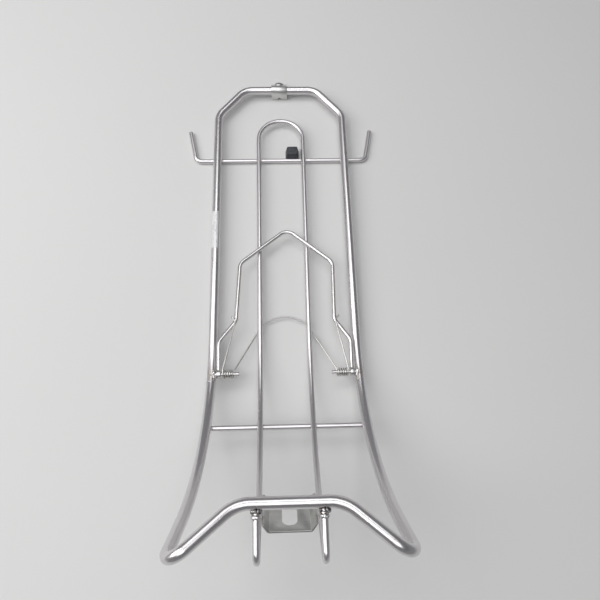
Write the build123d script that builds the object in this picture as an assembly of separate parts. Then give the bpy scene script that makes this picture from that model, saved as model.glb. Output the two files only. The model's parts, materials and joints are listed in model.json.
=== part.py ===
from build123d import *
from math import asin, cos, pi, radians, sin, sqrt, tan
import os

# Bicycle rear rack, millimetres. While it is modelled, X is to the right, Y runs along the deck
# towards the rear, Z is up, and Z = 0 is the centre line of the side rails. The last step moves
# everything so that the origin is at the middle of the bottom of the whole rack's box.

# ---- driving dimensions ----
tube_d = 10.0             # outside diameter of the outer frame's tube
tube_wall = 1.2
rod_d = 5.5               # inner loop and both cross rods
bail_d = 4.5              # spring clamp's wire
pin_d = 4.0
spring_d = 1.6

rail_half = 77.0          # rail centre line to the middle plane
loop_end_y = 341.0        # rear straight of the loop
loop_end_half = 44.6      # half length of that straight, corner to corner
loop_side_y = 302.3       # where the slanted corner meets the rail
loop_bend_r = 22.0

rise_start_y = 12.5       # rails leave the deck here
rise_bend_r = 225.0
rise_angle = 59.0
rise_lean = 0.106         # outward lean of the front legs, per mm of height
seam_angle = 13.6         # place of the seam on the rise bend
seam_bead_r = 0.4
seam_bead_turn = 0.35     # short arc that gives the bead its place, degrees
bow_corner_y = -210.5     # top front corner of each leg, before rounding
bow_corner_z = 157.0
bow_corner_r = 13.0
dish_half = 41.1          # dished middle of the top cross tube
dish_y = -165.8
dish_z = 146.0
dish_bend_r = 30.0

inner_half = 27.2         # inner loop on the deck
inner_half_top = 25.6     # and at its turned-back ends
inner_end_y = 295.0
inner_rise_angle = 52.0
stub_z = 145.0
stub_bend_r = 6.5

hook_bar_y = 240.4
hook_half = 103.5         # bend of each hook
hook_tip_half = 112.0
hook_tip_y = 283.0
hook_bend_r = 8.0
cross_rod_y = -85.0
weld_half_sizes = (2.6, 1.3, 1.3)
weld_spread = 2.5         # weld metal's centre to the rod's centre line
stub_weld_r = 2.2
stub_weld_gap = 1.3       # its centre to the top cross tube's face
stub_lump_sizes = (3.3, 3.0, 3.2)
stub_lump_gap = 5.6       # lump of extra metal on the stub, from the same face

pivot_y = -31.6
pivot_rise = 4.0          # pins' centre line above the rails' there
pin_reach = 4.5           # pins run this far over the rails
pin_inner_x = 48.4
eye_x = 69.6
eye_r = 4.6
pin_clearance = 0.05      # radial, pin to eye
pin_weld_sizes = (3.0, 5.0, 3.1)
pin_weld_x = 74.9         # middle of the lump of weld metal round each pin's foot
pin_weld_drop = 0.8       # below the pin's centre line
bail_foot_y = 4.2         # outer bends of the bail
bail_foot_half = 70.3
bail_knee_y = 27.2        # inner bends
bail_knee_half = 53.2
bail_shoulder_y = 97.0
bail_shoulder_half = 52.0
bail_tip_y = 140.0
bail_lean = 0.036         # the wire's set to the right, per mm beyond its foot
bail_gap = 0.3            # between the bail and the rods that stop it
bail_bend_r = 12.0

coil_r = 3.9              # centre of the spring's wire
coil_turns = 4.5
coil_pitch = 2.4
coil_start_x = 65.0
bow_knee_x = 31.0
bow_knee_y = 15.4
bow_side_x = 25.0
bow_side_y = 27.5
bow_top_y = 38.5
spring_gap = 0.05         # between the bow and the rods it pushes on
arm_gap = 0.1             # between each arm and the clamp's wire

bracket_angle = 52.0      # slope of the bracket's web
bracket_length = 41.4
bracket_ahead = 3.7       # its middle is this far up the slope from the end of the bend
bracket_web_half = 18.3
bracket_edge_half = 23.0
bracket_edge_z = 0.8      # sides' edges above the legs' centre lines
bracket_depth = 7.1
bracket_sheet = 1.8
slot_width = 12.8
slot_length = 28.0
slot_edge = 7.6           # slot's upper end to the web's upper edge
bracket_corner_r = 2.8    # outside of the pressed corners
bracket_bead_sizes = (1.6, 1.4, 5.5)
bracket_bead_out = 0.9    # its middle, beyond the side's edge
bracket_bead_up = 1.5     # and above the legs' centre lines

clip_x = -0.8             # the clip sits a little off the middle
clip_width = 20.0
clip_sheet = 1.2
clip_tail = 9.5
notch_width = 4.0
notch_depth = 3.0         # straight part plus the round end
screw_tail = 16.5
screw_place = 10.5        # along the screw tail
screw_d = 5.0
screw_head_d = 12.0
screw_head_h = 3.2
hole_clearance = 0.25     # radial, round the screw
nut_af = 8.0
nut_h = 4.0
washer_d = 10.0
washer_h = 1.0
screw_end = 1.0           # thread past the nut

buffer_x = 13.8
buffer_near_y = 241.6
buffer_base = (16.4, 15.4)
buffer_top = (12.6, 10.6)
buffer_top_y = 251.4      # middle of its top
buffer_top_z = -1.0
buffer_corner_r = 1.6
buffer_edge_r = 0.7
label_near_y = 117.0
label_far_y = 164.0
label_sheet = 0.15
label_low = -35.0         # wrap round the rail, degrees from the outside
label_high = 125.0

tube_r = tube_d / 2
rod_r = rod_d / 2
inner_z = rod_r - tube_r             # inner loop's underside is level with the rails'
cross_z = -tube_r - rod_r            # cross rods lie under both
lean_unit = sqrt(1 + rise_lean ** 2)
rod_rise_r = rise_bend_r + tube_r - rod_r   # inner loop's bend, with its underside level with the rails'


def mirrored(points):
    """The same points on the other side of the middle plane, in reverse order."""
    return [(-x, y, z) for x, y, z in reversed(points)]


def both_sides(points):
    return points + mirrored(points)


def swept(path, radius, bore=0.0):
    """A round bar along a path, hollow if it has a bore."""
    start = Plane(origin=path @ 0, z_dir=path % 0)
    section = Circle(radius) - Circle(bore) if bore else Circle(radius)
    return sweep(start * section, path=path)


def bent(points, radii, radius):
    """A round bar along straight runs joined by bends."""
    return swept(Wire(FilletPolyline(*points, radius=radii).edges()), radius)


def bar_x(y, z, x_from, x_to, radius):
    """A round bar along X."""
    place = Plane(origin=(x_from, y, z), z_dir=(1, 0, 0))
    return extrude(place * Circle(radius), amount=x_to - x_from)


def ball(centre, half_sizes):
    """An ellipsoid, for weld metal and rounded lumps."""
    x, y, z = half_sizes
    return Pos(*centre) * scale(Sphere(1.0), by=(x, y, z))


def largest(shape, count=1):
    """The biggest solids of a cut shape, without slivers."""
    return sorted(shape.solids(), key=lambda s: s.volume, reverse=True)[:count]


# ---- outer frame ----
def rise_point(angle, side=1):
    """Point of a rail's centre line on the bend that lifts it off the deck."""
    up = rise_bend_r * (1 - cos(radians(angle)))
    height = up / lean_unit
    x = rail_half + rise_lean * height
    return (side * x, rise_start_y - rise_bend_r * sin(radians(angle)), height)


def rise_arc(angle_from, angle_to, side):
    middle = (angle_from + angle_to) / 2
    return ThreePointArc(*[rise_point(a, side) for a in (angle_from, middle, angle_to)])


def loop_path():
    half = [rise_point(0), (rail_half, loop_side_y, 0), (loop_end_half, loop_end_y, 0)]
    runs = FilletPolyline(*both_sides(half), radius=loop_bend_r).edges()
    return Wire([rise_arc(seam_angle, 0, 1)] + list(runs) + [rise_arc(0, seam_angle, -1)])


def bow_path():
    corner_x = rail_half + rise_lean * bow_corner_z
    half = [rise_point(rise_angle), (corner_x, bow_corner_y, bow_corner_z), (dish_half, dish_y, dish_z)]
    radii = [bow_corner_r, dish_bend_r, dish_bend_r, bow_corner_r]
    runs = FilletPolyline(*both_sides(half), radius=radii).edges()
    return Wire([rise_arc(seam_angle, rise_angle, 1)] + list(runs) + [rise_arc(rise_angle, seam_angle, -1)])


loop_solid = swept(loop_path(), tube_r)
bow_solid = swept(bow_path(), tube_r)
rear_loop = swept(loop_path(), tube_r, tube_r - tube_wall)
front_bow = swept(bow_path(), tube_r, tube_r - tube_wall)


def seam_ring(side):
    """A low bead round the tube at the seam."""
    path = rise_arc(seam_angle - seam_bead_turn, seam_angle + seam_bead_turn, side)
    place = Plane(origin=path @ 0.5, z_dir=path % 0.5)
    bead = place * Torus(tube_r, seam_bead_r)
    return bead - loop_solid - bow_solid


# ---- inner loop and cross rods ----
def inner_path_points():
    knee_y = rise_start_y - rod_rise_r * tan(radians(inner_rise_angle / 2))
    top_y = knee_y - (stub_z - inner_z) / tan(radians(inner_rise_angle))
    half = [
        (inner_half_top, dish_y - 1.0, stub_z),
        (inner_half_top, top_y, stub_z),
        (inner_half - 0.8, knee_y, inner_z),
        (inner_half, inner_end_y, inner_z),
    ]
    radii = [stub_bend_r, rod_rise_r, inner_half - 0.5]
    return both_sides(half), radii + radii[::-1]


inner_points, inner_radii = inner_path_points()
inner_loop = largest(bent(inner_points, inner_radii, rod_r) - bow_solid)[0]
hook_half_points = [(hook_tip_half, hook_tip_y, cross_z), (hook_half, hook_bar_y, cross_z)]
hook_bar = bent(both_sides(hook_half_points), hook_bend_r, rod_r)


def rail_height(y):
    """Height of the rails' centre line at a place on the rise bend."""
    return rise_bend_r * (1 - cos(asin((rise_start_y - y) / rise_bend_r))) / lean_unit


def rail_x(y):
    return rail_half + rise_lean * rail_height(y)


def rise_normal(y, start_y, radius):
    """Unit vector square to a bend at y, pointing down and forward."""
    angle = asin((start_y - y) / radius)
    return -sin(angle), -cos(angle)


cross_drop_y, cross_drop_z = rise_normal(cross_rod_y, rise_start_y, rise_bend_r)
cross_y = cross_rod_y + (tube_r + rod_r) * cross_drop_y
cross_rod_z = rail_height(cross_rod_y) + (tube_r + rod_r) * cross_drop_z
cross_end = rail_x(cross_rod_y) + 1.0
cross_rod = bar_x(cross_y, cross_rod_z, -cross_end, cross_end, rod_r) - bow_solid - inner_loop


def weld_group(places, cutters):
    """Weld metal at several places, cut back to the surfaces of the bars that it joins."""
    solids = []
    for place in places:
        lump = ball(place, weld_half_sizes)
        for cutter in cutters:
            lump = lump - cutter
        solids += largest(lump, 2)
    return solids


def crossing_places(y, z, outer_x, inner_x):
    """Both sides of each crossing between a cross rod and the bars above it."""
    return [
        (side * x, y + way * weld_spread, z)
        for x in (outer_x, inner_x) for side in (-1, 1) for way in (-1, 1)]


hook_welds = weld_group(
    crossing_places(hook_bar_y, cross_z + rod_r, rail_half, inner_half),
    [loop_solid, inner_loop, hook_bar],
)
cross_welds = weld_group(
    crossing_places(cross_y - rod_r * cross_drop_y, cross_rod_z - rod_r * cross_drop_z,
                    rail_x(cross_rod_y), inner_half - 0.6),
    [bow_solid, inner_loop, cross_rod],
)


def stub_weld(side):
    """A collar of weld metal where a turned-back end meets the top cross tube."""
    face_y = dish_y - tube_r
    place = Plane(origin=(side * inner_half_top, face_y - stub_weld_gap, stub_z), z_dir=(0, 1, 0))
    lump = ball((side * inner_half_top, face_y - stub_lump_gap, stub_z), stub_lump_sizes)
    collar = place * Torus(rod_r, stub_weld_r)
    return largest(collar + lump - bow_solid - inner_loop)[0]


# ---- mounting bracket ----
slope_y, slope_z = -cos(radians(bracket_angle)), sin(radians(bracket_angle))
seat_y = rise_start_y - rod_rise_r * sin(radians(bracket_angle))
seat_z = rise_bend_r - rod_rise_r * cos(radians(bracket_angle))
bracket_plane = Plane(
    origin=(0, seat_y + bracket_ahead * slope_y, seat_z + bracket_ahead * slope_z),
    x_dir=(1, 0, 0), z_dir=(0, slope_y, slope_z))


def bracket_section():
    """Outline of the pressed channel across its length: a flat web and two flared sides."""
    sheet = bracket_sheet
    outer = Polygon(
        (bracket_edge_half, bracket_edge_z), (bracket_web_half, -bracket_depth),
        (-bracket_web_half, -bracket_depth), (-bracket_edge_half, bracket_edge_z), align=None)
    inner = Polygon(
        (bracket_edge_half - sheet, bracket_edge_z + 0.1), (bracket_web_half - 0.7 * sheet, sheet - bracket_depth),
        (0.7 * sheet - bracket_web_half, sheet - bracket_depth), (sheet - bracket_edge_half, bracket_edge_z + 0.1),
        align=None)
    outer = fillet(outer.vertices().sort_by(Axis.Y)[:2], radius=bracket_corner_r)
    inner = fillet(inner.vertices().sort_by(Axis.Y)[:2], radius=bracket_corner_r - sheet)
    return outer - inner


def bracket_solid():
    body = extrude(bracket_plane * bracket_section(), amount=bracket_length / 2, both=True)
    slot_at = bracket_length / 2 - slot_edge - slot_length / 2
    middle = bracket_plane.from_local_coords((0, -bracket_depth, slot_at))
    slot_plane = Plane(origin=middle, x_dir=bracket_plane.z_dir, z_dir=bracket_plane.y_dir)
    cutter = extrude(slot_plane * SlotOverall(slot_length, slot_width), amount=2 * bracket_sheet, both=True)
    return body - cutter


def bracket_bead(side, along):
    """One weld along a flange's edge, between it and the inner loop's leg."""
    place = bracket_plane * Pos(side * (bracket_edge_half + bracket_bead_out), bracket_bead_up, along)
    return place * scale(Sphere(1.0), by=bracket_bead_sizes)


mounting_bracket = bracket_solid() - inner_loop
bracket_welds = []
for side in (-1, 1):
    for along in (-bracket_length / 4, bracket_length / 4):
        bracket_welds += largest(bracket_bead(side, along) - mounting_bracket - inner_loop)


# ---- pivot pins ----
pivot_z = rail_height(pivot_y) + pivot_rise
pin_outer_x = rail_x(pivot_y) - tube_r + pin_reach


def pivot_pin(side):
    """A pin that lies against the upper inner side of its rail."""
    return largest(bar_x(pivot_y, pivot_z, side * pin_inner_x, side * pin_outer_x, pin_d / 2) - loop_solid)[0]


def pin_weld(side):
    """A lump of weld metal over a pin's foot and the rail."""
    lump = ball((side * pin_weld_x, pivot_y, pivot_z - pin_weld_drop), pin_weld_sizes)
    return largest(lump - loop_solid - pivot_pin(side))[0]


# ---- spring clamp ----
bail_stop_y = bail_tip_y - (bail_tip_y - bail_shoulder_y) * inner_half / bail_shoulder_half
bail_stop_z = inner_z + rod_r + bail_d / 2 + bail_gap
bail_slope = (bail_stop_z - pivot_z) / (bail_stop_y - pivot_y)


def bail_point(x, y):
    lean = bail_lean * max(0.0, y - bail_foot_y)
    return (x + lean, y, pivot_z + bail_slope * (y - pivot_y))


def spring_clamp_solid():
    half = [
        (eye_x, pivot_y + pin_d / 2 + 0.6),
        (bail_foot_half, bail_foot_y),
        (bail_knee_half, bail_knee_y),
        (bail_shoulder_half, bail_shoulder_y),
    ]
    right = [bail_point(x, y) for x, y in half]
    left = [bail_point(-x, y) for x, y in reversed(half)]
    points = right + [bail_point(0, bail_tip_y)] + left
    body = bent(points, [bail_bend_r] * (len(points) - 2), bail_d / 2)
    for side in (-1, 1):
        body = body + bar_x(pivot_y, pivot_z, side * eye_x - bail_d / 2, side * eye_x + bail_d / 2, eye_r)
    hole_r = pin_d / 2 + pin_clearance
    return body - bar_x(pivot_y, pivot_z, -rail_half, rail_half, hole_r)


# ---- torsion spring ----
spring_r = spring_d / 2
coil_length = coil_turns * coil_pitch
coil_end_x = coil_start_x - coil_length
helix_lead = coil_pitch / (2 * pi * coil_r)


def coil(side):
    """The windings on one pin, from the arm at the top to the bow at the bottom."""
    place = Plane(origin=(coil_start_x, pivot_y, pivot_z), x_dir=(0, 0, 1), z_dir=(-1, 0, 0))
    path = place * Helix(coil_pitch, coil_length, coil_r, lefthand=True)
    start = Plane(origin=path @ 0, z_dir=path % 0)
    winding = sweep(start * Circle(spring_r), path=path, is_frenet=True)
    return winding if side > 0 else mirror(winding, about=Plane.YZ)


def spring_bow():
    """The long bow between the coils; it passes under the inner loop and pushes up on it."""
    low_z = inner_z - rod_r - spring_r - spring_gap
    foot_z = pivot_z - coil_r
    half = [
        (coil_end_x, pivot_y, foot_z),
        (coil_end_x - 5 * helix_lead, pivot_y + 5, foot_z),
        (bow_knee_x, bow_knee_y, low_z),
        (bow_side_x, bow_side_y, low_z),
    ]
    points = half + [(0, bow_top_y, low_z)] + mirrored(half)
    radii = [4.0, 10.0, 10.0, 30.0, 10.0, 10.0, 4.0]
    return bent(points, radii, spring_r)


def spring_arm(side):
    """The spring's end, which follows the clamp: from the coil over the clamp's wire and round it."""
    top_z = pivot_z + coil_r
    over_z = bail_point(0, bail_knee_y)[2] + bail_d / 2 + spring_r + arm_gap
    lean = bail_point(0, bail_knee_y)[0]
    points = [
        (coil_start_x, pivot_y, top_z),
        (coil_start_x + 4 * helix_lead, pivot_y + 4, top_z),
        (bail_knee_half + 0.6 + side * lean, bail_knee_y - 1.0, over_z),
        (bail_knee_half + 4.4 + side * lean, bail_knee_y + 4.0, over_z),
        (bail_knee_half + 4.9 + side * lean, bail_knee_y + 4.6, over_z - 4.6),
    ]
    arm = bent(points, [3.0, 2.0, 1.2], spring_r)
    return arm if side > 0 else mirror(arm, about=Plane.YZ)


torsion_spring = coil(1) + coil(-1) + spring_bow()


# ---- reflector clip at the rear ----
clip_plane = Plane(origin=(clip_x - clip_width / 2, loop_end_y, 0), x_dir=(0, 1, 0), z_dir=(1, 0, 0))
clip_outer_r = tube_r + clip_sheet
half_root = sqrt(0.5)
tail_root = clip_outer_r * half_root
screw_y = loop_end_y + tail_root + screw_place * half_root
screw_z = tail_root - screw_place * half_root
screw_plane = Plane(origin=(clip_x, screw_y, screw_z), x_dir=(1, 0, 0), z_dir=(0, half_root, half_root))


def reflector_clip_solid():
    """A strap over the tube: a notched tail hangs in front, a screw tail slopes down behind."""
    sector = Polygon((0, 0), (20, 20), (-20, 20), (-20, 0), align=None)
    wrap = (Circle(clip_outer_r) - Circle(tube_r)) & sector
    near_tail = Pos(-tube_r - clip_sheet / 2, -clip_tail / 2) * Rectangle(clip_sheet, clip_tail)
    middle_r = tube_r + clip_sheet / 2
    tail_at = Pos((middle_r + screw_tail / 2) * half_root, (middle_r - screw_tail / 2) * half_root)
    far_tail = tail_at * Rot(0, 0, -45) * Rectangle(screw_tail, clip_sheet)
    body = extrude(clip_plane * (wrap + near_tail + far_tail), amount=clip_width)
    notch_y = loop_end_y - tube_r - clip_sheet / 2
    notch = Pos(clip_x, notch_y, -clip_tail) * Box(notch_width, 3 * clip_sheet, 2 * notch_depth - notch_width)
    arch = Pos(clip_x, notch_y, notch_width / 2 - clip_tail + notch_depth - notch_width) * Rot(90, 0, 0)
    notch = notch + arch * Cylinder(notch_width / 2, 3 * clip_sheet)
    hole = screw_plane * Cylinder(screw_d / 2 + hole_clearance, 6 * clip_sheet)
    return body - notch - hole


def reflector_screw_solid():
    head = scale(Sphere(1.0), by=(screw_head_d / 2, screw_head_d / 2, screw_head_h))
    head = head & Pos(0, 0, screw_head_h) * Box(2 * screw_head_d, 2 * screw_head_d, 2 * screw_head_h)
    grip = clip_sheet + washer_h + nut_h + screw_end
    shank = Pos(0, 0, -grip / 2) * Cylinder(screw_d / 2, grip)
    return screw_plane * (head + shank)


def washer_solid():
    ring = Circle(washer_d / 2) - Circle(screw_d / 2 + hole_clearance)
    return extrude(screw_plane * Pos(0, 0, -clip_sheet - washer_h) * ring, amount=washer_h)


def nut_solid():
    ring = RegularPolygon(nut_af / 2, 6, major_radius=False) - Circle(screw_d / 2)
    return extrude(screw_plane * Pos(0, 0, -clip_sheet - washer_h - nut_h) * ring, amount=nut_h)


# ---- rubber buffer and label ----
def buffer_solid():
    """A block that narrows upwards, moulded against the hook bar."""
    base_y = buffer_near_y + buffer_base[1] / 2
    base = Pos(buffer_x, base_y, cross_z - rod_r) * RectangleRounded(*buffer_base, buffer_corner_r)
    top = Pos(buffer_x, buffer_top_y, buffer_top_z) * RectangleRounded(*buffer_top, buffer_corner_r)
    block = loft([base, top])
    block = fillet(block.faces().sort_by(Axis.Z)[-1].edges(), radius=buffer_edge_r)
    return block - hook_bar


def label_solid():
    place = Plane(origin=(-rail_half, label_near_y, 0), x_dir=(-1, 0, 0), z_dir=(0, 1, 0))
    low, high = radians(label_low), radians(label_high)
    sector = Polygon((0, 0), (8 * cos(low), 8 * sin(low)), (9, 9), (8 * cos(high), 8 * sin(high)), align=None)
    ring = (Circle(tube_r + label_sheet) - Circle(tube_r)) & sector
    return extrude(place * ring, amount=label_far_y - label_near_y)


nodes = {
    "rear_loop": rear_loop,
    "front_bow": front_bow,
    "seam_rings": [seam_ring(-1), seam_ring(1)],
    "inner_loop": inner_loop,
    "hook_bar": hook_bar,
    "cross_rod": cross_rod,
    "hook_bar_welds": hook_welds,
    "cross_rod_welds": cross_welds,
    "stub_welds": [stub_weld(-1), stub_weld(1)],
    "mounting_bracket": mounting_bracket,
    "bracket_welds": bracket_welds,
    "left_pivot_pin": pivot_pin(-1),
    "right_pivot_pin": pivot_pin(1),
    "left_pin_weld": pin_weld(-1),
    "right_pin_weld": pin_weld(1),
    "spring_clamp": spring_clamp_solid(),
    "torsion_spring": torsion_spring,
    "spring_arms": [spring_arm(-1), spring_arm(1)],
    "reflector_clip": reflector_clip_solid(),
    "reflector_screw": reflector_screw_solid(),
    "reflector_washer": washer_solid(),
    "reflector_nut": nut_solid(),
    "rubber_buffer": buffer_solid(),
    "rail_label": label_solid(),
}


def solids_of(shape):
    parts = shape if isinstance(shape, list) else [shape]
    return [solid for part in parts for solid in part.solids()]


all_solids = {name: solids_of(shape) for name, shape in nodes.items()}
whole = Compound([solid for group in all_solids.values() for solid in group]).bounding_box()
shift = (-(whole.min.X + whole.max.X) / 2, -(whole.min.Y + whole.max.Y) / 2, -whole.min.Z)

os.makedirs("parts", exist_ok=True)
for name, group in all_solids.items():
    placed = [Pos(*shift) * solid for solid in group]
    export_step(placed[0] if len(placed) == 1 else Compound(placed), f"parts/{name}.step")

print("size", whole.size)
print("shift", shift)
print("pivot", (0, pivot_y + shift[1], pivot_z + shift[2]))
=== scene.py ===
import json
import math
import random

import bmesh
import bpy
import numpy as np
from mathutils import Matrix, Vector, noise


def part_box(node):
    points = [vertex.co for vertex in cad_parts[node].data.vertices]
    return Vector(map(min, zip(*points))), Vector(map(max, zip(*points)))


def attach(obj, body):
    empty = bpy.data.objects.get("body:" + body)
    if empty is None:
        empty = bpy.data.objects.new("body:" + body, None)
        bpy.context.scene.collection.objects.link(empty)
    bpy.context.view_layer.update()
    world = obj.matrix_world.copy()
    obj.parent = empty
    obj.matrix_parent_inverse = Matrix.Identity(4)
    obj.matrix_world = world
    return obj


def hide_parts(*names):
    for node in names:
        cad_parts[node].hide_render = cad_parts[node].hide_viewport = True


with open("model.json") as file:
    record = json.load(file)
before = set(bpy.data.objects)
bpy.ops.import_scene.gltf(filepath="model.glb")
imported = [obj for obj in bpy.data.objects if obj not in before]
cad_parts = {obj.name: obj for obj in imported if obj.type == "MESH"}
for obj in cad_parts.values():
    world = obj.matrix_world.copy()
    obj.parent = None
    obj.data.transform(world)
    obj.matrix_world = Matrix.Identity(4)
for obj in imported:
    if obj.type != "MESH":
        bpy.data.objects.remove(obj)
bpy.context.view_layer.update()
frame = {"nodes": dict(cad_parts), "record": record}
nodes = frame["nodes"]
random.seed(7)
MM = 0.001

# Sizes of the rack in its own layout, in millimetres, as the CAD has them.
TUBE_R, ROD_R, WIRE_R, PIN_R, SPRING_R = 5.0, 2.75, 2.25, 2.0, 0.8
RAIL_HALF, RISE_START, RISE_R, RISE_LEAN = 77.0, 12.5, 225.0, 0.106
SEAM_ANGLE, RISE_END = 13.6, 59.0
LOOP_SIDE_Y, LOOP_END_HALF, LOOP_END_Y, LOOP_BEND_R = 302.3, 44.6, 341.0, 22.0
BOW_CORNER_Y, BOW_CORNER_Z, BOW_CORNER_R = -210.5, 157.0, 13.0
DISH_HALF, DISH_Y, DISH_Z, DISH_BEND_R = 41.1, -165.8, 146.0, 30.0
INNER_HALF, INNER_HALF_TOP, INNER_END_Y = 27.2, 25.6, 295.0
INNER_ANGLE, INNER_END_R, STUB_TOP, STUB_BEND_R = 52.0, 26.7, 145.0, 6.5
HOOK_BAR_Y, HOOK_HALF, HOOK_TIP_HALF, HOOK_TIP_Y, HOOK_BEND_R = 240.4, 103.5, 112.0, 283.0, 8.0
CROSS_ROD_Y = -85.0
PIVOT_Y, PIVOT_RISE, PIN_INNER_X, PIN_REACH = -31.6, 4.0, 48.4, 4.5
EYE_X, EYE_BORE_R, EYE_OUTER_R, EYE_ROUND_R = 69.6, 2.05, 4.6, 0.9
FOOT, KNEE, SHOULDER, TIP_Y = (70.3, 4.2), (53.2, 27.2), (52.0, 97.0), 140.0
BAIL_LEAN, BAIL_BEND_R = 0.036, 12.0
COIL_R, TURNS, PITCH, COIL_X = 3.9, 4.5, 2.4, 65.0
CLIP_X, CLIP_OUTER_R, SCREW_PLACE = -0.8, 6.2, 10.5
SCREW_R, THREAD_ROOT_R, HEAD_R, HEAD_H = 2.5, 2.12, 6.0, 3.2
LABEL_NEAR_Y = 117.0
INNER_Z = ROD_R - TUBE_R
CROSS_Z = -TUBE_R - ROD_R
LEAN_UNIT = math.sqrt(1 + RISE_LEAN ** 2)

# The CAD is shifted as a whole, so its label and hook bar say where the shared frame is.
SHIFT_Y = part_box("rail_label")[0].y / MM - LABEL_NEAR_Y
SHIFT_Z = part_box("hook_bar")[0].z / MM - (CROSS_Z - ROD_R)
STUB_FACE_Y = (DISH_Y - TUBE_R + SHIFT_Y) * MM
STUB_Z = (STUB_TOP + SHIFT_Z) * MM


# ---------------------------------------------------------------- materials
class Nodes:
    """A small helper that builds one procedural material."""

    def __init__(self, name, coords="Object"):
        self.mat = bpy.data.materials.new(name)
        self.mat.use_nodes = True
        self.tree = self.mat.node_tree
        self.bsdf = self.tree.nodes["Principled BSDF"]
        source = self.tree.nodes.new("ShaderNodeTexCoord")
        self.place = source.outputs["Object"]
        self.coords = source.outputs[coords]

    def new(self, kind):
        return self.tree.nodes.new(kind)

    def link(self, a, b):
        self.tree.links.new(a, b)

    def noise(self, scale, detail=4.0, rough=0.55, stretch=(1, 1, 1), distortion=0.0):
        mapping = self.new("ShaderNodeMapping")
        mapping.inputs["Scale"].default_value = stretch
        self.link(self.coords, mapping.inputs["Vector"])
        tex = self.new("ShaderNodeTexNoise")
        tex.inputs["Scale"].default_value = scale
        tex.inputs["Detail"].default_value = detail
        tex.inputs["Roughness"].default_value = rough
        tex.inputs["Distortion"].default_value = distortion
        self.link(mapping.outputs["Vector"], tex.inputs["Vector"])
        return tex.outputs["Fac"]

    def cells(self, scale, stretch=(1, 1, 1)):
        mapping = self.new("ShaderNodeMapping")
        mapping.inputs["Scale"].default_value = stretch
        self.link(self.coords, mapping.inputs["Vector"])
        tex = self.new("ShaderNodeTexVoronoi")
        tex.inputs["Scale"].default_value = scale
        self.link(mapping.outputs["Vector"], tex.inputs["Vector"])
        return tex.outputs["Distance"]

    def ramp(self, value, low, high, out_low=0.0, out_high=1.0):
        node = self.new("ShaderNodeMapRange")
        node.inputs["From Min"].default_value = low
        node.inputs["From Max"].default_value = high
        node.inputs["To Min"].default_value = out_low
        node.inputs["To Max"].default_value = out_high
        self.link(value, node.inputs["Value"])
        return node.outputs["Result"]

    def math(self, kind, a, b):
        node = self.new("ShaderNodeMath")
        node.operation = kind
        for socket, value in zip(node.inputs, (a, b)):
            if isinstance(value, (int, float)):
                socket.default_value = value
            else:
                self.link(value, socket)
        return node.outputs["Value"]

    def mix(self, factor, a, b):
        node = self.new("ShaderNodeMix")
        node.data_type = "RGBA"
        for socket, value in ((node.inputs[0], factor), (node.inputs[6], a), (node.inputs[7], b)):
            if isinstance(value, (int, float)):
                socket.default_value = value
            elif isinstance(value, tuple):
                socket.default_value = (*value, 1.0)
            else:
                self.link(value, socket)
        return node.outputs[2]

    def near(self, points, reach):
        """1 close to any of these points, 0 further off than reach."""
        total = None
        for point in points:
            gap = self.new("ShaderNodeVectorMath")
            gap.operation = "DISTANCE"
            gap.inputs[1].default_value = point
            self.link(self.place, gap.inputs[0])
            value = self.ramp(gap.outputs["Value"], reach, 0.0)
            total = value if total is None else self.math("MAXIMUM", total, value)
        return total

    def bump(self, height, depth_m, strength=1.0, under=None):
        node = self.new("ShaderNodeBump")
        node.inputs["Strength"].default_value = strength
        node.inputs["Distance"].default_value = depth_m
        self.link(height, node.inputs["Height"])
        if under is not None:
            self.link(under, node.inputs["Normal"])
        return node.outputs["Normal"]

    def finish(self, color=None, rough=None, normal=None, **values):
        for socket, value in (("Base Color", color), ("Roughness", rough), ("Normal", normal)):
            if value is not None:
                self.link(value, self.bsdf.inputs[socket])
        for key, value in values.items():
            self.bsdf.inputs[key.replace("_", " ")].default_value = value
        return self.mat


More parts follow.
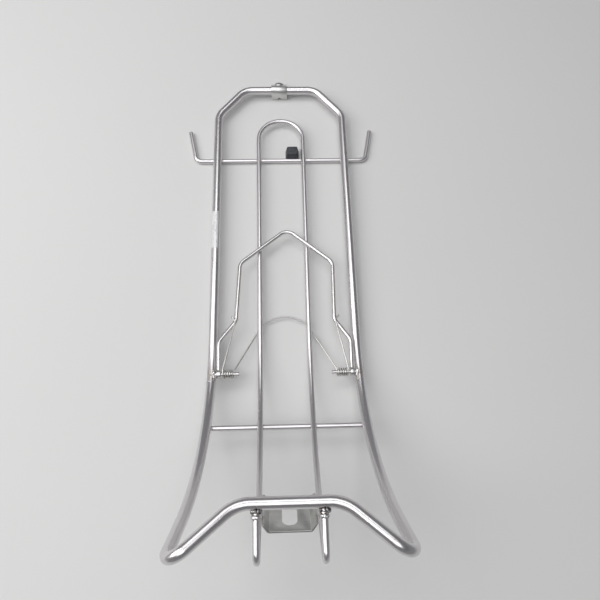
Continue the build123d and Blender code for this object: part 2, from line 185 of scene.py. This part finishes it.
def steel(name, light, dark, smooth, dull, grain, streak=0.22, heat=(), heat_reach=0.012, pits=0.0,
          painted_shade_at=(), painted_shade_reach=0.006, scuffs=(), coords="Object"):
    """Metal with drawing lines along `grain`, soft smudges, heat tint round welds, near-black painted shade
    round given points, and scuffs.
    """
    n = Nodes(name, coords)
    smudge = n.noise(55, 5, 0.6, (1, 0.3, 1) if coords == "UV" else (1, 1, 1))
    fine = n.noise(900, 3, 0.6, grain)
    broad = n.noise(160, 4, 0.6, grain)
    color = n.mix(n.ramp(smudge, 0.38, 0.66), light, dark)
    color = n.mix(n.ramp(fine, 0.62, 0.74, 0.0, streak), color, tuple(c * 0.62 for c in dark))
    if heat:
        zone = n.math("MULTIPLY", n.near(heat, heat_reach), n.ramp(n.noise(420, 4), 0.3, 0.62))
        color = n.mix(n.ramp(zone, 0.06, 0.55, 0.0, 0.55), color, (0.50, 0.42, 0.32))
        color = n.mix(n.ramp(zone, 0.40, 0.85, 0.0, 0.8), color, (0.16, 0.15, 0.17))
    # Painted shade: a near-black patch on the colour round the given points, standing in for the shade in a
    # joint.
    if painted_shade_at:
        zone = n.math("MULTIPLY", n.near(painted_shade_at, painted_shade_reach), n.ramp(n.noise(800, 4), 0.25, 0.55, 0.45, 1.0))
        color = n.mix(n.ramp(zone, 0.26, 0.44, 0.0, 0.92), color, (0.06, 0.058, 0.06))
    if scuffs:
        zone = n.math("MULTIPLY", n.near(scuffs, 0.006), n.ramp(n.noise(1300, 3, 0.6), 0.5, 0.62))
        color = n.mix(n.ramp(zone, 0.1, 0.5, 0.0, 0.8), color, (0.24, 0.20, 0.16))
    wear = n.math("ADD", n.ramp(broad, 0.3, 0.7, 0.0, 0.6), n.ramp(smudge, 0.35, 0.7, 0.0, 0.4))
    rough = n.ramp(wear, 0.0, 1.0, smooth, dull)
    normal = n.bump(fine, 0.003 * MM)
    normal = n.bump(broad, 0.006 * MM, under=normal)
    if pits:
        spots = n.ramp(n.cells(260), 0.0, 0.22, 1.0, 0.0)
        normal = n.bump(spots, -pits * MM, under=normal)
    return n.finish(color, rough, normal, Metallic=1.0)


ALONG_X = (0.05, 1, 1)
ALL_WAYS = (1, 1, 1)
UV_GRAIN = (1, 0.035, 1)
BRIGHT = (0.735, 0.718, 0.728)
SHADE = (0.665, 0.648, 0.657)


def loose_parts(node):
    """The separate lumps of a CAD node, as arrays of points."""
    bm = bmesh.new()
    bm.from_mesh(node.data)
    bmesh.ops.remove_doubles(bm, verts=bm.verts, dist=1e-6)
    left, groups = set(bm.verts), []
    while left:
        stack, group = [left.pop()], []
        while stack:
            v = stack.pop()
            group.append(tuple(v.co))
            for e in v.link_edges:
                other = e.other_vert(v)
                if other in left:
                    left.remove(other)
                    stack.append(other)
        groups.append(np.array(group))
    bm.free()
    return groups


weld_names = [
    "hook_bar_welds", "cross_rod_welds", "stub_welds", "bracket_welds", "left_pin_weld", "right_pin_weld"]
lumps = {name: loose_parts(nodes[name]) for name in weld_names}


def centres(*names):
    return [tuple(p.mean(axis=0)) for name in names for p in lumps[name]]


pin_heat = centres("left_pin_weld", "right_pin_weld")
cross_heat = centres("hook_bar_welds", "cross_rod_welds")
stub_tops = [(side * INNER_HALF_TOP * MM, STUB_FACE_Y, STUB_Z) for side in (-1, 1)]
scuff_spots = [(-0.0771, -0.2689, 0.1663), (0.0748, -0.2681, 0.1663)]
mats = {
    "rear_loop": steel("tube_bright", BRIGHT, SHADE, 0.24, 0.33, UV_GRAIN,
                       heat=pin_heat, heat_reach=0.012, coords="UV"),
    "front_bow": steel("tube_bow", BRIGHT, SHADE, 0.22, 0.31, UV_GRAIN, heat=stub_tops, heat_reach=0.008,
                       scuffs=scuff_spots, coords="UV"),
    "seams": steel("seam_steel", BRIGHT, SHADE, 0.14, 0.28, ALL_WAYS),
    "inner_loop": steel("rod_inner", BRIGHT, SHADE, 0.25, 0.35, UV_GRAIN,
                        heat=stub_tops + centres("bracket_welds"), heat_reach=0.008, coords="UV"),
    "hook_bar": steel("rod_hooks", BRIGHT, SHADE, 0.25, 0.35, UV_GRAIN,
                      heat=cross_heat, heat_reach=0.006, coords="UV"),
    "cross_rod": steel("rod_cross", BRIGHT, SHADE, 0.25, 0.35, UV_GRAIN,
                       heat=cross_heat, heat_reach=0.006, coords="UV"),
    "spring_clamp": steel("clamp_wire", (0.735, 0.722, 0.715), SHADE, 0.20, 0.34, UV_GRAIN,
                          streak=0.25, coords="UV"),
    "pins": steel("pin_steel", (0.64, 0.63, 0.63), (0.50, 0.49, 0.49), 0.20, 0.36, UV_GRAIN, coords="UV"),
    "spring": steel("spring_wire", (0.66, 0.65, 0.63), (0.50, 0.49, 0.47), 0.22, 0.38, UV_GRAIN, coords="UV"),
    "bracket": steel("bracket_plate", (0.62, 0.62, 0.60), (0.50, 0.50, 0.49), 0.26, 0.46, ALONG_X, pits=0.02,
                     heat=centres("bracket_welds"), heat_reach=0.006),
    "strap": steel("strap_steel", (0.68, 0.68, 0.67), (0.54, 0.54, 0.53), 0.28, 0.46, ALL_WAYS, pits=0.015),
    "screw": steel("screw_steel", (0.66, 0.66, 0.65), (0.52, 0.52, 0.51), 0.18, 0.36, ALL_WAYS),
    # The weld metal gets near-black painted shade round the stub tops, where the stubs meet the underside of
    # the top cross tube.
    "weld": steel("weld_metal", (0.78, 0.77, 0.78), (0.52, 0.51, 0.51), 0.24, 0.44, ALL_WAYS, pits=0.05,
                  painted_shade_at=stub_tops, painted_shade_reach=0.0078),
}


def rubber():
    n = Nodes("black_rubber")
    grain = n.noise(1500, 3, 0.6)
    dust = n.noise(220, 5, 0.65)
    color = n.mix(n.ramp(dust, 0.50, 0.72), (0.030, 0.032, 0.040), (0.085, 0.088, 0.105))
    normal = n.bump(grain, 0.03 * MM)
    return n.finish(color, n.ramp(dust, 0.3, 0.7, 0.42, 0.62), normal, Specular_IOR_Level=0.6)


def foil():
    n = Nodes("label_foil")
    crease = n.noise(320, 3, 0.5, (1, 0.35, 1), 0.6)
    stain = n.noise(120, 5, 0.6)
    rub = n.noise(700, 4, 0.6, (1, 0.3, 1))
    color = n.mix(n.ramp(stain, 0.45, 0.7), (0.80, 0.80, 0.80), (0.66, 0.66, 0.69))
    color = n.mix(n.ramp(rub, 0.56, 0.66, 0.0, 0.7), color, (0.34, 0.34, 0.38))
    normal = n.bump(crease, 0.05 * MM)
    return n.finish(color, n.ramp(rub, 0.4, 0.7, 0.30, 0.5), normal, Metallic=0.25)


mats["rubber"] = rubber()
mats["foil"] = foil()

looks = {
    "rear_loop": "rear_loop", "front_bow": "front_bow", "seam_rings": "seams", "inner_loop": "inner_loop",
    "hook_bar": "hook_bar", "cross_rod": "cross_rod", "spring_clamp": "spring_clamp",
    "left_pivot_pin": "pins", "right_pivot_pin": "pins", "torsion_spring": "spring", "spring_arms": "spring",
    "mounting_bracket": "bracket", "reflector_clip": "strap", "reflector_screw": "screw",
    "reflector_washer": "screw", "reflector_nut": "screw", "rubber_buffer": "rubber", "rail_label": "foil",
}
looks.update({name: "weld" for name in weld_names})
for name, look in looks.items():
    data = nodes[name].data
    if not data.materials:
        data.materials.append(mats[look])
    for slot in nodes[name].material_slots:
        slot.material = mats[look]

body_of = {node: body for body, group in frame["record"]["behaviour"]["bodies"].items() for node in group}


# ---------------------------------------------------------------- pieces
def add(name, mesh, look, node):
    """A piece that stands for a CAD node and rides on that node's body."""
    obj = bpy.data.objects.new(name, mesh)
    bpy.context.scene.collection.objects.link(obj)
    mesh.materials.clear()
    mesh.materials.append(mats[look])
    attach(obj, body_of[node])
    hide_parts(node)
    return obj


def eased(node, name, width, segments=2, angle=32):
    """The CAD node with its sharp edges eased, as pressed or turned metal has them."""
    bm = bmesh.new()
    bm.from_mesh(nodes[node].data)
    bmesh.ops.remove_doubles(bm, verts=bm.verts, dist=1e-6)
    bmesh.ops.dissolve_limit(bm, angle_limit=math.radians(0.8), verts=bm.verts, edges=bm.edges)
    mesh = bpy.data.meshes.new(name)
    bm.to_mesh(mesh)
    bm.free()
    mesh.shade_smooth()
    obj = add(name, mesh, looks[node], node)
    bevel = obj.modifiers.new("ease", "BEVEL")
    bevel.width = width
    bevel.segments = segments
    bevel.limit_method = "ANGLE"
    bevel.angle_limit = math.radians(angle)
    bevel.harden_normals = True
    bevel.use_clamp_overlap = True
    return obj


def blobs(name, node, spots, voxel):
    """Weld metal: overlapping drops fused into one skin. spots are (centre, (rx, ry, rz), turn)."""
    bm = bmesh.new()
    for centre, radii, turn in spots:
        place = Matrix.Translation(centre) @ turn.to_4x4() @ Matrix.Diagonal((*radii, 1.0))
        bmesh.ops.create_icosphere(bm, subdivisions=3, radius=1.0, matrix=place)
    raw = bpy.data.meshes.new(name + "_raw")
    bm.to_mesh(raw)
    bm.free()
    temp = bpy.data.objects.new(name + "_raw", raw)
    bpy.context.scene.collection.objects.link(temp)
    fuse = temp.modifiers.new("fuse", "REMESH")
    fuse.mode = "VOXEL"
    fuse.voxel_size = voxel
    even = temp.modifiers.new("even", "SMOOTH")
    even.iterations = 3
    even.factor = 0.5
    bpy.context.view_layer.update()
    mesh = bpy.data.meshes.new_from_object(temp.evaluated_get(bpy.context.evaluated_depsgraph_get()))
    bpy.data.objects.remove(temp)
    for v in mesh.vertices:
        push = noise.fractal(v.co * 900.0, 1.0, 2.0, 3) * 0.10 * MM
        v.co += v.normal * push
    mesh.shade_smooth()
    return add(name, mesh, looks[node], node)


def jitter(amount):
    return Vector([random.uniform(-amount, amount) for _ in range(3)])


def row_spots(points, pitch, slim=0.92):
    """Drops along the longest way through one CAD lump."""
    middle = points.mean(axis=0)
    axes = np.linalg.svd(points - middle, full_matrices=False)[2]
    spread = (points - middle) @ axes.T
    low, high = spread.min(axis=0), spread.max(axis=0)
    middle = middle + ((low + high) / 2) @ axes
    half = (high - low) / 2 * slim
    turn = Matrix([axes[0], axes[1], np.cross(axes[0], axes[1])]).transposed()
    count = max(3, int(round(2 * half[0] / pitch)))
    spots = []
    for i in range(count):
        t = -1 + (2 * i + 1) / count
        taper = math.sqrt(max(0.25, 1 - (0.86 * t) ** 2))
        place = Vector(middle + axes[0] * half[0] * t * 0.86)
        size = (half[0] / count * 1.9, half[1] * taper, half[2] * taper)
        spots.append((place + jitter(0.12 * MM), size, turn))
    return spots


def stub_spots_at(side):
    """A broken collar of drops against the top cross tube, and a bulb of metal round the stub before it."""
    spots = []
    centre = Vector((side * INNER_HALF_TOP * MM, STUB_FACE_Y, STUB_Z))
    for i in range(12):
        angle = 2 * math.pi * i / 12 + random.uniform(-0.12, 0.12)
        out = Vector((math.cos(angle), 0, math.sin(angle)))
        place = centre + out * 3.3 * MM + Vector((0, -1.1 * MM, 0)) + jitter(0.25 * MM)
        turn = Matrix((out, (0, 1, 0), out.cross(Vector((0, 1, 0))))).transposed()
        grow = random.uniform(0.85, 1.15)
        spots.append((place, (1.5 * MM * grow, 1.7 * MM * grow, 1.2 * MM), turn))
    for i in range(9):
        angle = 2 * math.pi * i / 9 + 0.3
        out = Vector((math.cos(angle), 0, math.sin(angle)))
        place = centre + out * 2.2 * MM + Vector((0, -5.2 * MM, 0)) + jitter(0.5 * MM)
        spots.append((place, tuple(random.uniform(1.6, 2.3) * MM for _ in range(3)), Matrix.Identity(3)))
    return spots


for node in ("hook_bar_welds", "cross_rod_welds"):
    spots = [s for lump in lumps[node] for s in row_spots(lump, 1.2 * MM, 1.0)]
    blobs(node + "_beads", node, spots, 0.28 * MM)
stub_spots = [spot for side in (-1, 1) for spot in stub_spots_at(side)]
blobs("stub_weld_collars", "stub_welds", stub_spots, 0.26 * MM)
bracket_spots = [s for lump in lumps["bracket_welds"] for s in row_spots(lump, 1.5 * MM)]
blobs("bracket_weld_beads", "bracket_welds", bracket_spots, 0.28 * MM)
for node in ("left_pin_weld", "right_pin_weld"):
    middle = Vector(lumps[node][0].mean(axis=0))
    spots = row_spots(lumps[node][0], 2.2 * MM, 1.08)
    drop = (1.2 * MM, 1.4 * MM, 1.1 * MM)
    spots += [(middle + jitter(1.8 * MM), drop, Matrix.Identity(3)) for _ in range(6)]
    blobs(node + "_bead", node, spots, 0.28 * MM)


# ---------------------------------------------------------------- bars, wires and turned pieces
def at(point):
    """A point of the part's own layout, in millimetres, as a place in the shared frame."""
    return Vector((point[0], point[1] + SHIFT_Y, point[2] + SHIFT_Z)) * MM


def mirrored(points):
    return [(-x, y, z) for x, y, z in reversed(points)]


def rounded(points, radii, step=2.5):
    """Straight runs joined by arcs, as points."""
    points = [Vector(p) for p in points]
    path = [points[0]]
    for i, radius in enumerate(radii, start=1):
        before = (points[i] - points[i - 1]).normalized()
        after = (points[i + 1] - points[i]).normalized()
        turn = before.angle(after)
        start = points[i] - before * radius * math.tan(turn / 2)
        inward = (after - before * before.dot(after)).normalized()
        count = max(4, int(math.degrees(turn) / step))
        for k in range(count + 1):
            a = turn * k / count
            path.append(start + inward * radius * (1 - math.cos(a)) + before * radius * math.sin(a))
    path.append(points[-1])
    return path


def sweep(bm, uv, path, radius, seam, around=36, ease=0.0):
    """One round bar along a path of places in the frame. Its UV runs round and along it, in metres."""
    clean = [path[0]]
    for p in path[1:]:
        if (p - clean[-1]).length > 0.02 * MM:
            clean.append(p)
    ways = [(b - a).normalized() for a, b in zip(clean, clean[1:])]
    tangents = [ways[0]] + [(a + b).normalized() for a, b in zip(ways, ways[1:])] + [ways[-1]]
    side = Vector(seam)
    along, rings, total = [], [], 0.0
    for i, (place, tangent) in enumerate(zip(clean, tangents)):
        if i:
            total += (place - clean[i - 1]).length
        side = (side - tangent * side.dot(tangent)).normalized()
        other = tangent.cross(side)
        stations = [(place, radius, total)]
        if ease and i == 0:
            stations = [(place, radius - ease, total), (place + tangent * ease, radius, total + ease)]
        elif ease and i == len(clean) - 1:
            stations = [(place - tangent * ease, radius, total - ease), (place, radius - ease, total)]
        for middle, r, v in stations:
            ring = []
            for k in range(around):
                a = 2 * math.pi * k / around
                ring.append(bm.verts.new(middle + (side * math.cos(a) + other * math.sin(a)) * r))
            rings.append(ring)
            along.append(v)
    girth = 2 * math.pi * radius
    for j in range(len(rings) - 1):
        for k in range(around):
            m = (k + 1) % around
            face = bm.faces.new((rings[j][k], rings[j][m], rings[j + 1][m], rings[j + 1][k]))
            spots = ((k, j), (k + 1, j), (k + 1, j + 1), (k, j + 1))
            for loop, (c, row) in zip(face.loops, spots):
                loop[uv].uv = (girth * c / around, along[row])
    for ring, flip in ((rings[0], True), (rings[-1], False)):
        face = bm.faces.new(ring[::-1] if flip else ring)
        for loop in face.loops:
            loop[uv].uv = (0.0, 0.0)


def lathe(bm, uv, profile, origin, axis, around=48):
    """A turned piece. profile holds (distance along the axis, radius), in metres."""
    axis = Vector(axis).normalized()
    side = axis.orthogonal().normalized()
    other = axis.cross(side)
    rings = []
    for distance, radius in profile:
        ring = []
        for k in range(around):
            a = 2 * math.pi * k / around
            out = side * math.cos(a) + other * math.sin(a)
            ring.append(bm.verts.new(Vector(origin) + axis * distance + out * max(radius, 1e-6)))
        rings.append(ring)
    for j in range(len(rings) - 1):
        for k in range(around):
            m = (k + 1) % around
            face = bm.faces.new((rings[j][k], rings[j][m], rings[j + 1][m], rings[j + 1][k]))
            for loop, (c, row) in zip(face.loops, ((k, j), (k + 1, j), (k + 1, j + 1), (k, j + 1))):
                loop[uv].uv = (c / around * 0.01, profile[row][0])


def shaped(name, node, makers):
    """A smooth piece that stands for a CAD node, from calls that add to one mesh."""
    bm = bmesh.new()
    uv = bm.loops.layers.uv.new("UVMap")
    for make, values in makers:
        make(bm, uv, **values)
    bmesh.ops.recalc_face_normals(bm, faces=bm.faces)
    mesh = bpy.data.meshes.new(name)
    bm.to_mesh(mesh)
    bm.free()
    mesh.shade_smooth()
    obj = add(name, mesh, looks[node], node)
    split = obj.modifiers.new("crisp", "EDGE_SPLIT")
    split.split_angle = math.radians(40)
    return obj


def rise_point(angle, side=1):
    a = math.radians(angle)
    height = RISE_R * (1 - math.cos(a)) / LEAN_UNIT
    return (side * (RAIL_HALF + RISE_LEAN * height), RISE_START - RISE_R * math.sin(a), height)


def rise_run(low, high, side, count=24):
    return [rise_point(low + (high - low) * k / count, side) for k in range(count + 1)]


def rail_height(y):
    return RISE_R * (1 - math.cos(math.asin((RISE_START - y) / RISE_R))) / LEAN_UNIT


def rail_x(y):
    return RAIL_HALF + RISE_LEAN * rail_height(y)


def placed(points):
    return [at(p) for p in points]


def bar(name, node, path, radius, **more):
    """One smooth bar, in place of a CAD node."""
    values = dict(path=placed(path), radius=radius * MM, seam=(0, 0, -1), **more)
    shaped(name, node, [(sweep, values)])


# outer tube
half = [rise_point(0), (RAIL_HALF, LOOP_SIDE_Y, 0), (LOOP_END_HALF, LOOP_END_Y, 0)]
middle = rounded(half + mirrored(half), [LOOP_BEND_R] * 4)
path = rise_run(SEAM_ANGLE, 0, 1) + middle + rise_run(0, SEAM_ANGLE, -1)
bar("rear_loop_tube", "rear_loop", path, TUBE_R, around=48)

corner_x = RAIL_HALF + RISE_LEAN * BOW_CORNER_Z
half = [rise_point(RISE_END), (corner_x, BOW_CORNER_Y, BOW_CORNER_Z), (DISH_HALF, DISH_Y, DISH_Z)]
middle = rounded(half + mirrored(half), [BOW_CORNER_R, DISH_BEND_R, DISH_BEND_R, BOW_CORNER_R])
path = rise_run(SEAM_ANGLE, RISE_END, 1) + middle + rise_run(RISE_END, SEAM_ANGLE, -1)
bar("front_bow_tube", "front_bow", path, TUBE_R, around=48)

# inner loop and cross rods
inner_r = RISE_R + TUBE_R - ROD_R
inner_angle = math.radians(INNER_ANGLE)
knee_y = RISE_START - inner_r * math.tan(inner_angle / 2)
half = [
    (INNER_HALF_TOP, DISH_Y - 1.0, STUB_TOP),
    (INNER_HALF_TOP, knee_y - (STUB_TOP - INNER_Z) / math.tan(inner_angle), STUB_TOP),
    (INNER_HALF - 0.8, knee_y, INNER_Z),
    (INNER_HALF, INNER_END_Y, INNER_Z),
]
radii = [STUB_BEND_R, inner_r, INNER_END_R]
bar("inner_loop_rod", "inner_loop", rounded(half + mirrored(half), radii + radii[::-1]), ROD_R)

half = [(HOOK_TIP_HALF, HOOK_TIP_Y, CROSS_Z), (HOOK_HALF, HOOK_BAR_Y, CROSS_Z)]
path = rounded(half + mirrored(half), [HOOK_BEND_R, HOOK_BEND_R])
bar("hook_bar_rod", "hook_bar", path, ROD_R, ease=0.4 * MM)

fall = math.asin((RISE_START - CROSS_ROD_Y) / RISE_R)
cross_y = CROSS_ROD_Y - (TUBE_R + ROD_R) * math.sin(fall)
cross_z = rail_height(CROSS_ROD_Y) - (TUBE_R + ROD_R) * math.cos(fall)
end = rail_x(CROSS_ROD_Y) + 1.0
bar("cross_rod_bar", "cross_rod", [(-end, cross_y, cross_z), (end, cross_y, cross_z)], ROD_R)

# spring clamp
pivot_z = rail_height(PIVOT_Y) + PIVOT_RISE
stop_y = TIP_Y - (TIP_Y - SHOULDER[1]) * INNER_HALF / SHOULDER[0]
stop_z = INNER_Z + ROD_R + WIRE_R + 0.3
slope = (stop_z - pivot_z) / (stop_y - PIVOT_Y)


def bail_point(x, y):
    return (x + BAIL_LEAN * max(0.0, y - FOOT[1]), y, pivot_z + slope * (y - PIVOT_Y))


half = [(EYE_X, PIVOT_Y + PIN_R + 0.6), FOOT, KNEE, SHOULDER]
points = [bail_point(x, y) for x, y in half] + [bail_point(0, TIP_Y)]
points += [bail_point(-x, y) for x, y in reversed(half)]
path = placed(rounded(points, [BAIL_BEND_R] * 7))
section = [(-WIRE_R, EYE_BORE_R + 0.3), (-WIRE_R, EYE_OUTER_R - EYE_ROUND_R)]
section += [
    (EYE_ROUND_R * (1 - math.cos(a)) - WIRE_R, EYE_OUTER_R - EYE_ROUND_R + EYE_ROUND_R * math.sin(a))
    for a in (0.4, 0.8, 1.2, math.pi / 2)]
section += [(-d, r) for d, r in reversed(section)]
section += [(WIRE_R - 0.3, EYE_BORE_R), (0.3 - WIRE_R, EYE_BORE_R), section[0]]
section = [(d * MM, r * MM) for d, r in section]
makers = [(sweep, dict(path=path, radius=WIRE_R * MM, seam=(0, 0, -1)))]
for side in (-1, 1):
    eye = at((side * EYE_X, PIVOT_Y, pivot_z))
    makers.append((lathe, dict(profile=section, origin=eye, axis=(1, 0, 0))))
shaped("clamp_bail", "spring_clamp", makers)

pin_end = rail_x(PIVOT_Y) - TUBE_R + PIN_REACH
for side, word in ((-1, "left"), (1, "right")):
    path = [(side * PIN_INNER_X, PIVOT_Y, pivot_z), (side * pin_end, PIVOT_Y, pivot_z)]
    bar(word + "_pin_rod", word + "_pivot_pin", path, PIN_R, ease=0.3 * MM)

# torsion spring
coil_end = COIL_X - TURNS * PITCH
lead = PITCH / (2 * math.pi * COIL_R)
coil = []
steps = 28
for k in range(int(TURNS * steps) + 1):
    t = 2 * math.pi * k / steps
    coil.append((COIL_X - PITCH * k / steps, PIVOT_Y - COIL_R * math.sin(t), pivot_z + COIL_R * math.cos(t)))
low_z = INNER_Z - ROD_R - SPRING_R - 0.05
foot_z = pivot_z - COIL_R
half = [
    (coil_end, PIVOT_Y, foot_z),
    (coil_end - 5 * lead, PIVOT_Y + 5, foot_z),
    (31.0, 15.4, low_z),
    (25.0, 27.5, low_z),
]
radii = [4.0, 10.0, 10.0, 30.0, 10.0, 10.0, 4.0]
bow = rounded(half + [(0, 38.5, low_z)] + mirrored(half), radii)
path = placed(coil + bow + mirrored(coil))
values = dict(path=path, radius=SPRING_R * MM, seam=(-1, 0, 0), around=18, ease=0.12 * MM)
shaped("spring_wire", "torsion_spring", [(sweep, values)])

lean, _, over_z = bail_point(0, KNEE[1])
over_z += WIRE_R + SPRING_R + 0.1
makers = []
for side in (-1, 1):
    points = [
        (COIL_X, PIVOT_Y, pivot_z + COIL_R),
        (COIL_X + 4 * lead, PIVOT_Y + 4, pivot_z + COIL_R),
        (KNEE[0] + 0.6 + side * lean, KNEE[1] - 1.0, over_z),
        (KNEE[0] + 4.4 + side * lean, KNEE[1] + 4.0, over_z),
        (KNEE[0] + 4.9 + side * lean, KNEE[1] + 4.6, over_z - 4.6),
    ]
    arm = [at((side * x, y, z)) for x, y, z in rounded(points, [3.0, 2.0, 1.2])]
    values = dict(path=arm, radius=SPRING_R * MM, seam=(0, 0, -1), around=18, ease=0.12 * MM)
    makers.append((sweep, values))
shaped("spring_ends", "spring_arms", makers)

# the reflector's screw: a low dome, and a shank with its thread cut inside the CAD shank
root_half = math.sqrt(0.5)
screw_y = LOOP_END_Y + (CLIP_OUTER_R + SCREW_PLACE) * root_half
screw_at = at((CLIP_X, screw_y, (CLIP_OUTER_R - SCREW_PLACE) * root_half))
profile = [
    (HEAD_H * math.cos(math.radians(a)), HEAD_R * math.sin(math.radians(a))) for a in range(0, 86, 6)]
profile += [(0.35, 5.97), (0.0, 5.8), (0.0, SCREW_R), (-2.2, SCREW_R)]
depth = -2.2
while depth > -6.6:
    profile += [(depth - 0.16, THREAD_ROOT_R), (depth - 0.32, THREAD_ROOT_R), (depth - 0.48, SCREW_R)]
    depth -= 0.6
profile += [(-7.0, 2.2), (-7.2, 1.9), (-7.2, 0.0)]
profile = [(d * MM, r * MM) for d, r in profile]
shaped("domed_screw", "reflector_screw", [(lathe, dict(profile=profile, origin=screw_at, axis=(0, 1, 1)))])

# pressed, turned and moulded pieces
eased("mounting_bracket", "bracket_pressing", 0.30 * MM)
eased("reflector_clip", "reflector_strap", 0.25 * MM)
eased("reflector_nut", "hex_nut", 0.35 * MM)
eased("reflector_washer", "flat_washer", 0.15 * MM)
eased("rubber_buffer", "buffer_block", 0.35 * MM, 3)

# ---------------------------------------------------------------- stage
floor_mat = Nodes("pale_floor")
tone = floor_mat.noise(3.0, 3)
color = floor_mat.mix(tone, (0.68, 0.685, 0.68), (0.71, 0.71, 0.705))
floor_mat.finish(color, None, floor_mat.bump(floor_mat.noise(260, 4), 0.05 * MM), Roughness=0.9)
bm = bmesh.new()
bmesh.ops.create_grid(bm, x_segments=1, y_segments=1, size=6.0)
mesh = bpy.data.meshes.new("floor")
bm.to_mesh(mesh)
bm.free()
floor = bpy.data.objects.new("floor", mesh)
floor.location = (0, 0, -0.0003)
mesh.materials.append(floor_mat.mat)
bpy.context.scene.collection.objects.link(floor)


def softbox(name, place, aim, width, height, power, tint=(1, 1, 1)):
    data = bpy.data.lights.new(name, "AREA")
    data.shape = "RECTANGLE"
    data.size = width
    data.size_y = height
    data.energy = power
    data.color = tint
    obj = bpy.data.objects.new(name, data)
    obj.location = place
    obj.rotation_euler = (Vector(aim) - Vector(place)).to_track_quat("-Z", "Y").to_euler()
    bpy.context.scene.collection.objects.link(obj)
    return obj


softbox("key", (-1.25, 0.05, 1.25), (0, 0, 0), 1.3, 1.3, 17, (1.0, 0.985, 0.97))
softbox("near_top", (-0.28, -0.72, 1.9), (-0.28, -0.72, 0), 1.45, 1.35, 11.0, (1.0, 0.99, 1.0))
softbox("far_top", (-0.28, 0.93, 1.9), (-0.28, 0.93, 0), 1.45, 1.15, 9.5, (0.99, 0.99, 1.0))

world = bpy.data.worlds.new("studio")
bpy.context.scene.world = world
world.use_nodes = True
tree = world.node_tree
back = tree.nodes["Background"]
coords = tree.nodes.new("ShaderNodeTexCoord")
split = tree.nodes.new("ShaderNodeSeparateXYZ")
ramp = tree.nodes.new("ShaderNodeValToRGB")
tree.links.new(coords.outputs["Generated"], split.inputs[0])
tree.links.new(split.outputs["Z"], ramp.inputs["Fac"])
stops = ramp.color_ramp.elements
stops[0].position, stops[0].color = 0.0, (0.26, 0.26, 0.27, 1)
stops[1].position, stops[1].color = 1.0, (0.42, 0.43, 0.45, 1)
for place, value in ((0.50, 0.22), (0.62, 0.12), (0.86, 0.20)):
    stop = stops.new(place)
    stop.color = (value, value, value * 1.02, 1)
tree.links.new(ramp.outputs["Color"], back.inputs["Color"])
back.inputs["Strength"].default_value = 1.0

# ---------------------------------------------------------------- camera
tilt, roll_y, roll_z = (math.radians(a) for a in (-21.17, 1.52, 1.66))
turn = Matrix.Rotation(tilt, 3, "X") @ Matrix.Rotation(roll_y, 3, "Y") @ Matrix.Rotation(roll_z, 3, "Z")
camera = bpy.data.objects.new("camera", bpy.data.cameras.new("camera"))
camera.data.sensor_width = 36.0
camera.data.lens = 35.9
camera.data.clip_start = 0.01
camera.matrix_world = Matrix.Translation((-0.0058, -0.2602062, 0.6293)) @ turn.transposed().to_4x4()
bpy.context.scene.collection.objects.link(camera)
bpy.context.scene.camera = camera
bpy.context.scene.view_settings.view_transform = "Standard"
